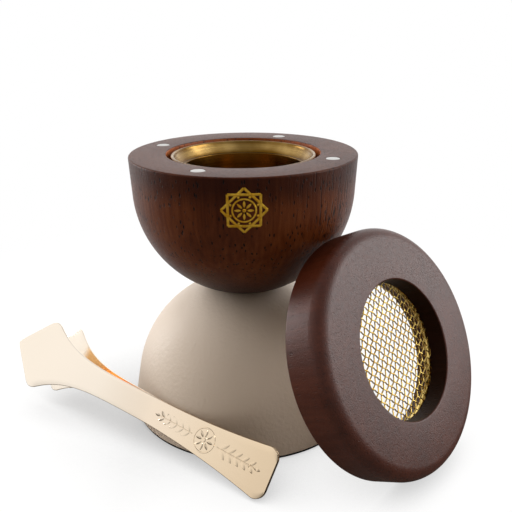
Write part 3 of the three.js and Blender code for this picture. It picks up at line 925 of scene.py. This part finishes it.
# Keeper: square ring against the net, from below
KEEPER_EDGE = 0.3
KEEPER_SIDE_GAP = 0.4
KEEPER_WIDTH = 1.2
KEEPER_HEIGHT = 1.9
KEEPER_DROP = 1.7
keeper_outside = recess - KEEPER_SIDE_GAP
keeper_inside = keeper_outside - KEEPER_WIDTH
keeper_high = LID_STEP - KEEPER_DROP
keeper_low = keeper_high - KEEPER_HEIGHT
keeper = turned(
    "net_keeper_ring",
    [
        *corner(keeper_outside, keeper_low, KEEPER_EDGE, -90, steps=3),
        *corner(keeper_outside, keeper_high, KEEPER_EDGE, 0, steps=3),
        *corner(keeper_inside, keeper_high, KEEPER_EDGE, 90, steps=3),
        *corner(keeper_inside, keeper_low, KEEPER_EDGE, 180, steps=3),
    ],
    net_brass,
    lid_matrix,
)
stand(keeper, "lid", "net_brass", "net_keeper")

# Tongs: two lofted sheet arms with rounded edges. Their inner faces carry a painted copper reflection and
# shade, pale at the head.
SHEET = 0.9
SHEET_EDGE = 0.28
ARM_LENGTH = 140.4
ARM_GAP_HALF = 0.15
ARM_LANES = 8
INNER_FACE_MARGIN = 0.01
HANDLE_HALF = 11.4
HANDLE_CORNER = 4.5
HANDLE_CURVE = 2.26
NECK_AT = 72.6
NECK_HALF = 5.8
HEAD_HALF = 17.6
HEAD_CURVE = 3.8
HEAD_POINT = 14.9
NOSE_HALF = 1
NOSE_ROUND = 1.6
NOSE_SHARE = 0.25
SPLIT_AT = 60
TIP_OPENING = 9.6
SPLIT_EASE = 0.12
SHOULDER_ROUND = 3.4
SHOULDER_CUT = 0.45
shoulder = ARM_LENGTH - HEAD_POINT


def plain_half(along):
    """Half width of an arm before its shoulders and its nose are rounded."""
    if along < NECK_AT:
        share = (NECK_AT - along) / NECK_AT
        return NECK_HALF + (HANDLE_HALF - NECK_HALF) * share**HANDLE_CURVE
    if along < shoulder:
        share = (along - NECK_AT) / (shoulder - NECK_AT)
        return NECK_HALF + (HEAD_HALF - NECK_HALF) * share**HEAD_CURVE
    return NOSE_HALF + (HEAD_HALF - NOSE_HALF) * (ARM_LENGTH - along) / HEAD_POINT


def half_width(along):
    if along < HANDLE_CORNER:
        short = HANDLE_CORNER - along
        return plain_half(HANDLE_CORNER) - HANDLE_CORNER + math.sqrt(max(0, HANDLE_CORNER**2 - short**2))
    width = plain_half(along)
    near = abs(along - shoulder) / SHOULDER_ROUND
    if near < 1:
        width -= SHOULDER_CUT * SHOULDER_ROUND * (1 - near) ** 2
    to_tip = (ARM_LENGTH - along) / NOSE_ROUND
    if to_tip < 1:
        width *= math.sqrt(max(0, 1 - (1 - to_tip) ** 2)) * (1 - NOSE_SHARE) + NOSE_SHARE
    return width


def spread(along):
    share = max(0, (along - SPLIT_AT) / (ARM_LENGTH - SPLIT_AT))
    return TIP_OPENING * (1 + SPLIT_EASE) * share**2 / (share + SPLIT_EASE)


def arm_stations():
    """Places along an arm, closest together where its outline turns."""
    stations = [HANDLE_CORNER * (1 - math.cos(TURN / 4 * i / 12)) for i in range(12)]
    for start, end, count in (
        (HANDLE_CORNER, shoulder - 4, 72),
        (shoulder - 3.6, shoulder + 3, 20),
        (shoulder + 3.6, ARM_LENGTH - 1.8, 12),
        (ARM_LENGTH - 1.5, ARM_LENGTH, 8),
    ):
        stations += list(np.linspace(start, end, count))
    return stations


def arm_section(flat, soft, low, high):
    """Points round a sheet with flat faces of that half width at two heights and round edges."""
    ring = []
    for facing, level, near, away in ((1, low, low + soft, high - soft), (-1, high, high - soft, low + soft)):
        ring += [(facing * flat * (2 * i / ARM_LANES - 1), level) for i in range(ARM_LANES + 1)]
        for start, height in ((-60, near), (0, away)):
            for turn in (start, start + 30, start + 60):
                a = deg(turn if facing > 0 else turn + 180)
                ring.append((facing * flat + soft * math.cos(a), height + soft * math.sin(a)))
    return ring


def arm_shape(side):
    """Points and faces of one arm. Side is 1 for the front arm and -1 for the rear one."""
    points, faces = [], []
    stations = arm_stations()
    for along in stations:
        half = half_width(along)
        inner = side * (ARM_GAP_HALF + spread(along))
        outer = inner + side * SHEET
        soft = min(SHEET_EDGE, half * 0.5)
        ring = arm_section(half - soft, soft, min(inner, outer), max(inner, outer))
        points += [(along, y, z) for y, z in ring]
    lofted(faces, 0, len(stations), len(ring))
    return points, faces


LAUREL_PAIRS = 5
LAUREL_HEIGHT = 0.22
LEAF_LEAN = 38
LEAF_SHRINK = 0.35
LEAF_WIDTH_SHARE = 0.42
STEM_WIDTH = 0.5


def laurel(relief, start, end, length):
    """A straight stem with leaves in pairs, which points from its start to its end."""
    strip(relief, straight_path((start, 0), (end, 0), 8), STEM_WIDTH, LAUREL_HEIGHT * 0.8)
    for pair in range(LAUREL_PAIRS):
        foot = start + (end - start) * (pair + 0.3) / LAUREL_PAIRS
        size = length * (1 - LEAF_SHRINK * pair / LAUREL_PAIRS)
        for lean in (LEAF_LEAN, -LEAF_LEAN):
            angle = lean if end > start else 180 - lean
            leaf(relief, (foot, 0), angle, size, LEAF_WIDTH_SHARE * size, LAUREL_HEIGHT)
    leaf(relief, (end, 0), 0 if end > start else 180, length * 0.6, 0.3 * length, LAUREL_HEIGHT)


def arm(name, side, relief=([], [])):
    points, faces = arm_shape(side)
    bare = len(faces)
    first = len(points)
    face = side * (ARM_GAP_HALF + SHEET)
    points += [(x, y, face + side * h) for x, y, h in relief[0]]
    faces += [[first + c for c in corners] for corners in relief[1]]
    made = mesh_object(name, points, faces, rose, tongs_matrix)
    made.data.materials.append(inside_painted_reflection)
    inner_face = ARM_GAP_HALF + INNER_FACE_MARGIN
    for polygon, corners in zip(made.data.polygons, faces[:bare]):
        if all(abs(points[c][2]) < inner_face + spread(points[c][0]) for c in corners):
            polygon.material_index = 1
    return made


ROSETTE_AT = (33, 0)
rear = arm("arm_rear_sheet", -1)
stand(rear, "tongs", "rose_gold", "tongs_arm_rear")
handle_relief = ([], [])
rosette(handle_relief, ROSETTE_AT, radius=4.4, height=0.2)
strip(handle_relief, round_path(5.0, middle=ROSETTE_AT), width=0.6, height=0.18)
laurel(handle_relief, start=26.5, end=8, length=5.4)
laurel(handle_relief, start=39.5, end=57, length=5.0)
front = arm("arm_front_sheet", 1, handle_relief)
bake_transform(front)
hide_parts("tongs_arm_front")

# Finishes of the nodes that stay as they are
for name, material in {
    "joining_washer": steel,
    "joining_bolt": steel,
    "threaded_insert": net_brass,
    "heat_disc": insulation,
}.items():
    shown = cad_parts[name]
    shown.data.materials.clear()
    shown.data.materials.append(material)

# Floor: grey for the light that it gives back, white with soft shadows to the camera and mirrored behind
FLOOR_HALF = 4000
FLOOR_DROP = 0.05
SHADE_LEFT = -50
SHADE_RIGHT = 30
PAPER_START = 150
PAPER_FULL = 300
MIRRORED_START = -50
MIRRORED_FULL = 150
floor_material = tree("floor_paper")
place = own_place(floor_material)
grain = noise(floor_material, place, scale=300, detail=2)
side = part_of(floor_material, place, "X")


def across_floor(left, right):
    """A value that runs from one at the left of the object to another at its right."""
    return spread_of(floor_material, side, SHADE_LEFT * MM, SHADE_RIGHT * MM, left, right)


# The sky that a place on the floor sees makes its soft shadow
shadow_reach = across_floor(100 * MM, 50 * MM)
shadow_depth = across_floor(0.42, 0.58)
shadow_start = across_floor(0.88, 0.70)
open_sky = out(node(floor_material, "AmbientOcclusion", {"Distance": shadow_reach}, samples=12), "AO")
glow = spread_of(floor_material, open_sky, 0.2, shadow_start, shadow_depth, 0.93)

ray = node(floor_material, "LightPath")
in_reflection = out(ray, "Is Glossy Ray")
plain = mixed(floor_material, grain, (0.58, 0.545, 0.50), (0.60, 0.565, 0.52))
dull_colour = mixed(floor_material, in_reflection, plain, (0.24, 0.23, 0.215))
pale_colour = mixed(floor_material, grain, (0.11, 0.11, 0.11), (0.12, 0.12, 0.12))
sheen = {"Roughness": 0.9, "Specular IOR Level": 0.2}
dull = out(node(floor_material, "BsdfPrincipled", {**sheen, "Base Color": dull_colour}))
pale = out(node(floor_material, "BsdfPrincipled", {**sheen, "Base Color": pale_colour}))
lift = out(node(floor_material, "Emission", {"Color": (1, 1, 1, 1), "Strength": glow}))
white = out(node(floor_material, "Emission", {"Color": (1, 1, 1, 1), "Strength": 1.0}))
far = eased(floor_material, length_of(floor_material, place), PAPER_START * MM, PAPER_FULL * MM)
near = out(node(floor_material, "AddShader", {0: pale, 1: lift}))
seen = out(node(floor_material, "MixShader", {0: far, 1: near, 2: white}))
depth_place = part_of(floor_material, place, "Y")
behind = eased(floor_material, depth_place, MIRRORED_START * MM, MIRRORED_FULL * MM)
direct = larger(floor_material, out(ray, "Is Camera Ray"), out(ray, "Is Transmission Ray"))
shows = larger(floor_material, direct, product(floor_material, in_reflection, behind))
paper = out(node(floor_material, "MixShader", {0: shows, 1: dull, 2: seen}))
node(floor_material, "OutputMaterial", {"Surface": paper})
floor_corners = [(FLOOR_HALF * x, FLOOR_HALF * y, 0) for x, y in ((-1, -1), (1, -1), (1, 1), (-1, 1))]
floor = mesh_object("floor", floor_corners, [(0, 1, 2, 3)], floor_material)
floor.location.z = -FLOOR_DROP * MM

# World: white to the camera, with a darker front and ceiling in reflections, and a dim warm light
world = bpy.data.worlds.new("studio")
bpy.context.scene.world = world
world.use_nodes = True
world.node_tree.nodes.clear()
path = node(world, "LightPath")
seen = larger(world, out(path, "Is Camera Ray"), out(path, "Is Transmission Ray"))
direction = node(world, "SeparateXYZ", {0: out(node(world, "TexCoord"), "Generated")})
front_wall = eased(world, out(direction, "Y"), -0.82, -0.42, 0.45, 1.05)
ceiling = eased(world, out(direction, "Z"), 0.70, 0.95, 1.0, 0.45)
back_wall = eased(world, out(direction, "Y"), 0.60, 0.88, 1.0, 1.35)
mirrored = product(world, product(world, front_wall, ceiling), back_wall)
ambient = spread_of(world, out(direction, "Y"), -0.9, 0.5, 0.22, 0.33)
level = between(world, seen, between(world, out(path, "Is Glossy Ray"), ambient, mirrored), 1.0)
tint = mixed(world, out(path, "Is Diffuse Ray"), (1.0, 1.0, 1.0), (1.0, 0.89, 0.77))
background = node(world, "Background", {"Color": tint, "Strength": level})
node(world, "OutputWorld", {"Surface": out(background)})

# Lamps: their places and sizes are in metres
LAMP_AIM = Vector((0, 0, 0.05))


def softbox(name, place, size, power, mirrored=True, lights=True):
    data = bpy.data.lights.new(name, "AREA")
    data.shape = "RECTANGLE"
    data.size, data.size_y = size
    data.energy = power
    made = bpy.data.objects.new(name, data)
    made.location = place
    made.rotation_euler = (LAMP_AIM - Vector(place)).to_track_quat("-Z", "Y").to_euler()
    made.visible_camera = False
    made.visible_glossy = mirrored
    made.visible_diffuse = lights
    bpy.context.scene.collection.objects.link(made)


softbox("key_left", (-0.86, 0.28, 0.48), (0.7, 0.9), 7.8, mirrored=False)
softbox("key_right", (0.90, 0.00, 0.40), (0.55, 0.65), 5.4)
softbox("top", (0.0, 0.30, 0.92), (0.8, 0.5), 2.0, mirrored=False)
softbox("card_left", (-0.80, 0.40, 0.20), (0.30, 0.45), 2.3, lights=False)

# Camera: the one that was fitted to the photograph, with its angles in radians
FOCAL_PIXELS = 647.60
FRAME_PIXELS = 512
SENSOR_WIDTH = 36
VIEW_TILT = 0.39416
VIEW_ROLL = -0.016368
VIEW_DISTANCE = 306.29
TARGET = Vector((0, 0, 60))
TARGET_PIXEL = (244.90, 282.30)
forward = Vector((0, math.cos(VIEW_TILT), -math.sin(VIEW_TILT)))
right = Vector((1, 0, 0))
up = right.cross(forward)
aside, down = (math.atan((pixel - FRAME_PIXELS / 2) / FOCAL_PIXELS) for pixel in TARGET_PIXEL)
x_axis = math.cos(aside) * right + math.sin(aside) * forward
depth = -math.sin(aside) * right + math.cos(aside) * forward
y_axis = math.cos(down) * -up + math.sin(down) * depth
depth = math.sin(down) * up + math.cos(down) * depth
u_axis = math.cos(VIEW_ROLL) * x_axis - math.sin(VIEW_ROLL) * y_axis
v_axis = math.sin(VIEW_ROLL) * x_axis + math.cos(VIEW_ROLL) * y_axis
lens = bpy.data.cameras.new("camera")
lens.sensor_width = SENSOR_WIDTH
lens.lens = FOCAL_PIXELS / FRAME_PIXELS * SENSOR_WIDTH
lens.clip_start = 0.01
lens.clip_end = 20
camera = bpy.data.objects.new("camera", lens)
bpy.context.scene.collection.objects.link(camera)
rows = [(u_axis[i], -v_axis[i], -depth[i], 0) for i in range(3)]
camera.matrix_world = Matrix((*rows, (0, 0, 0, 1)))
camera.location = (TARGET - VIEW_DISTANCE * forward) * MM
bpy.context.scene.camera = camera

bpy.context.scene.view_settings.view_transform = "Standard"
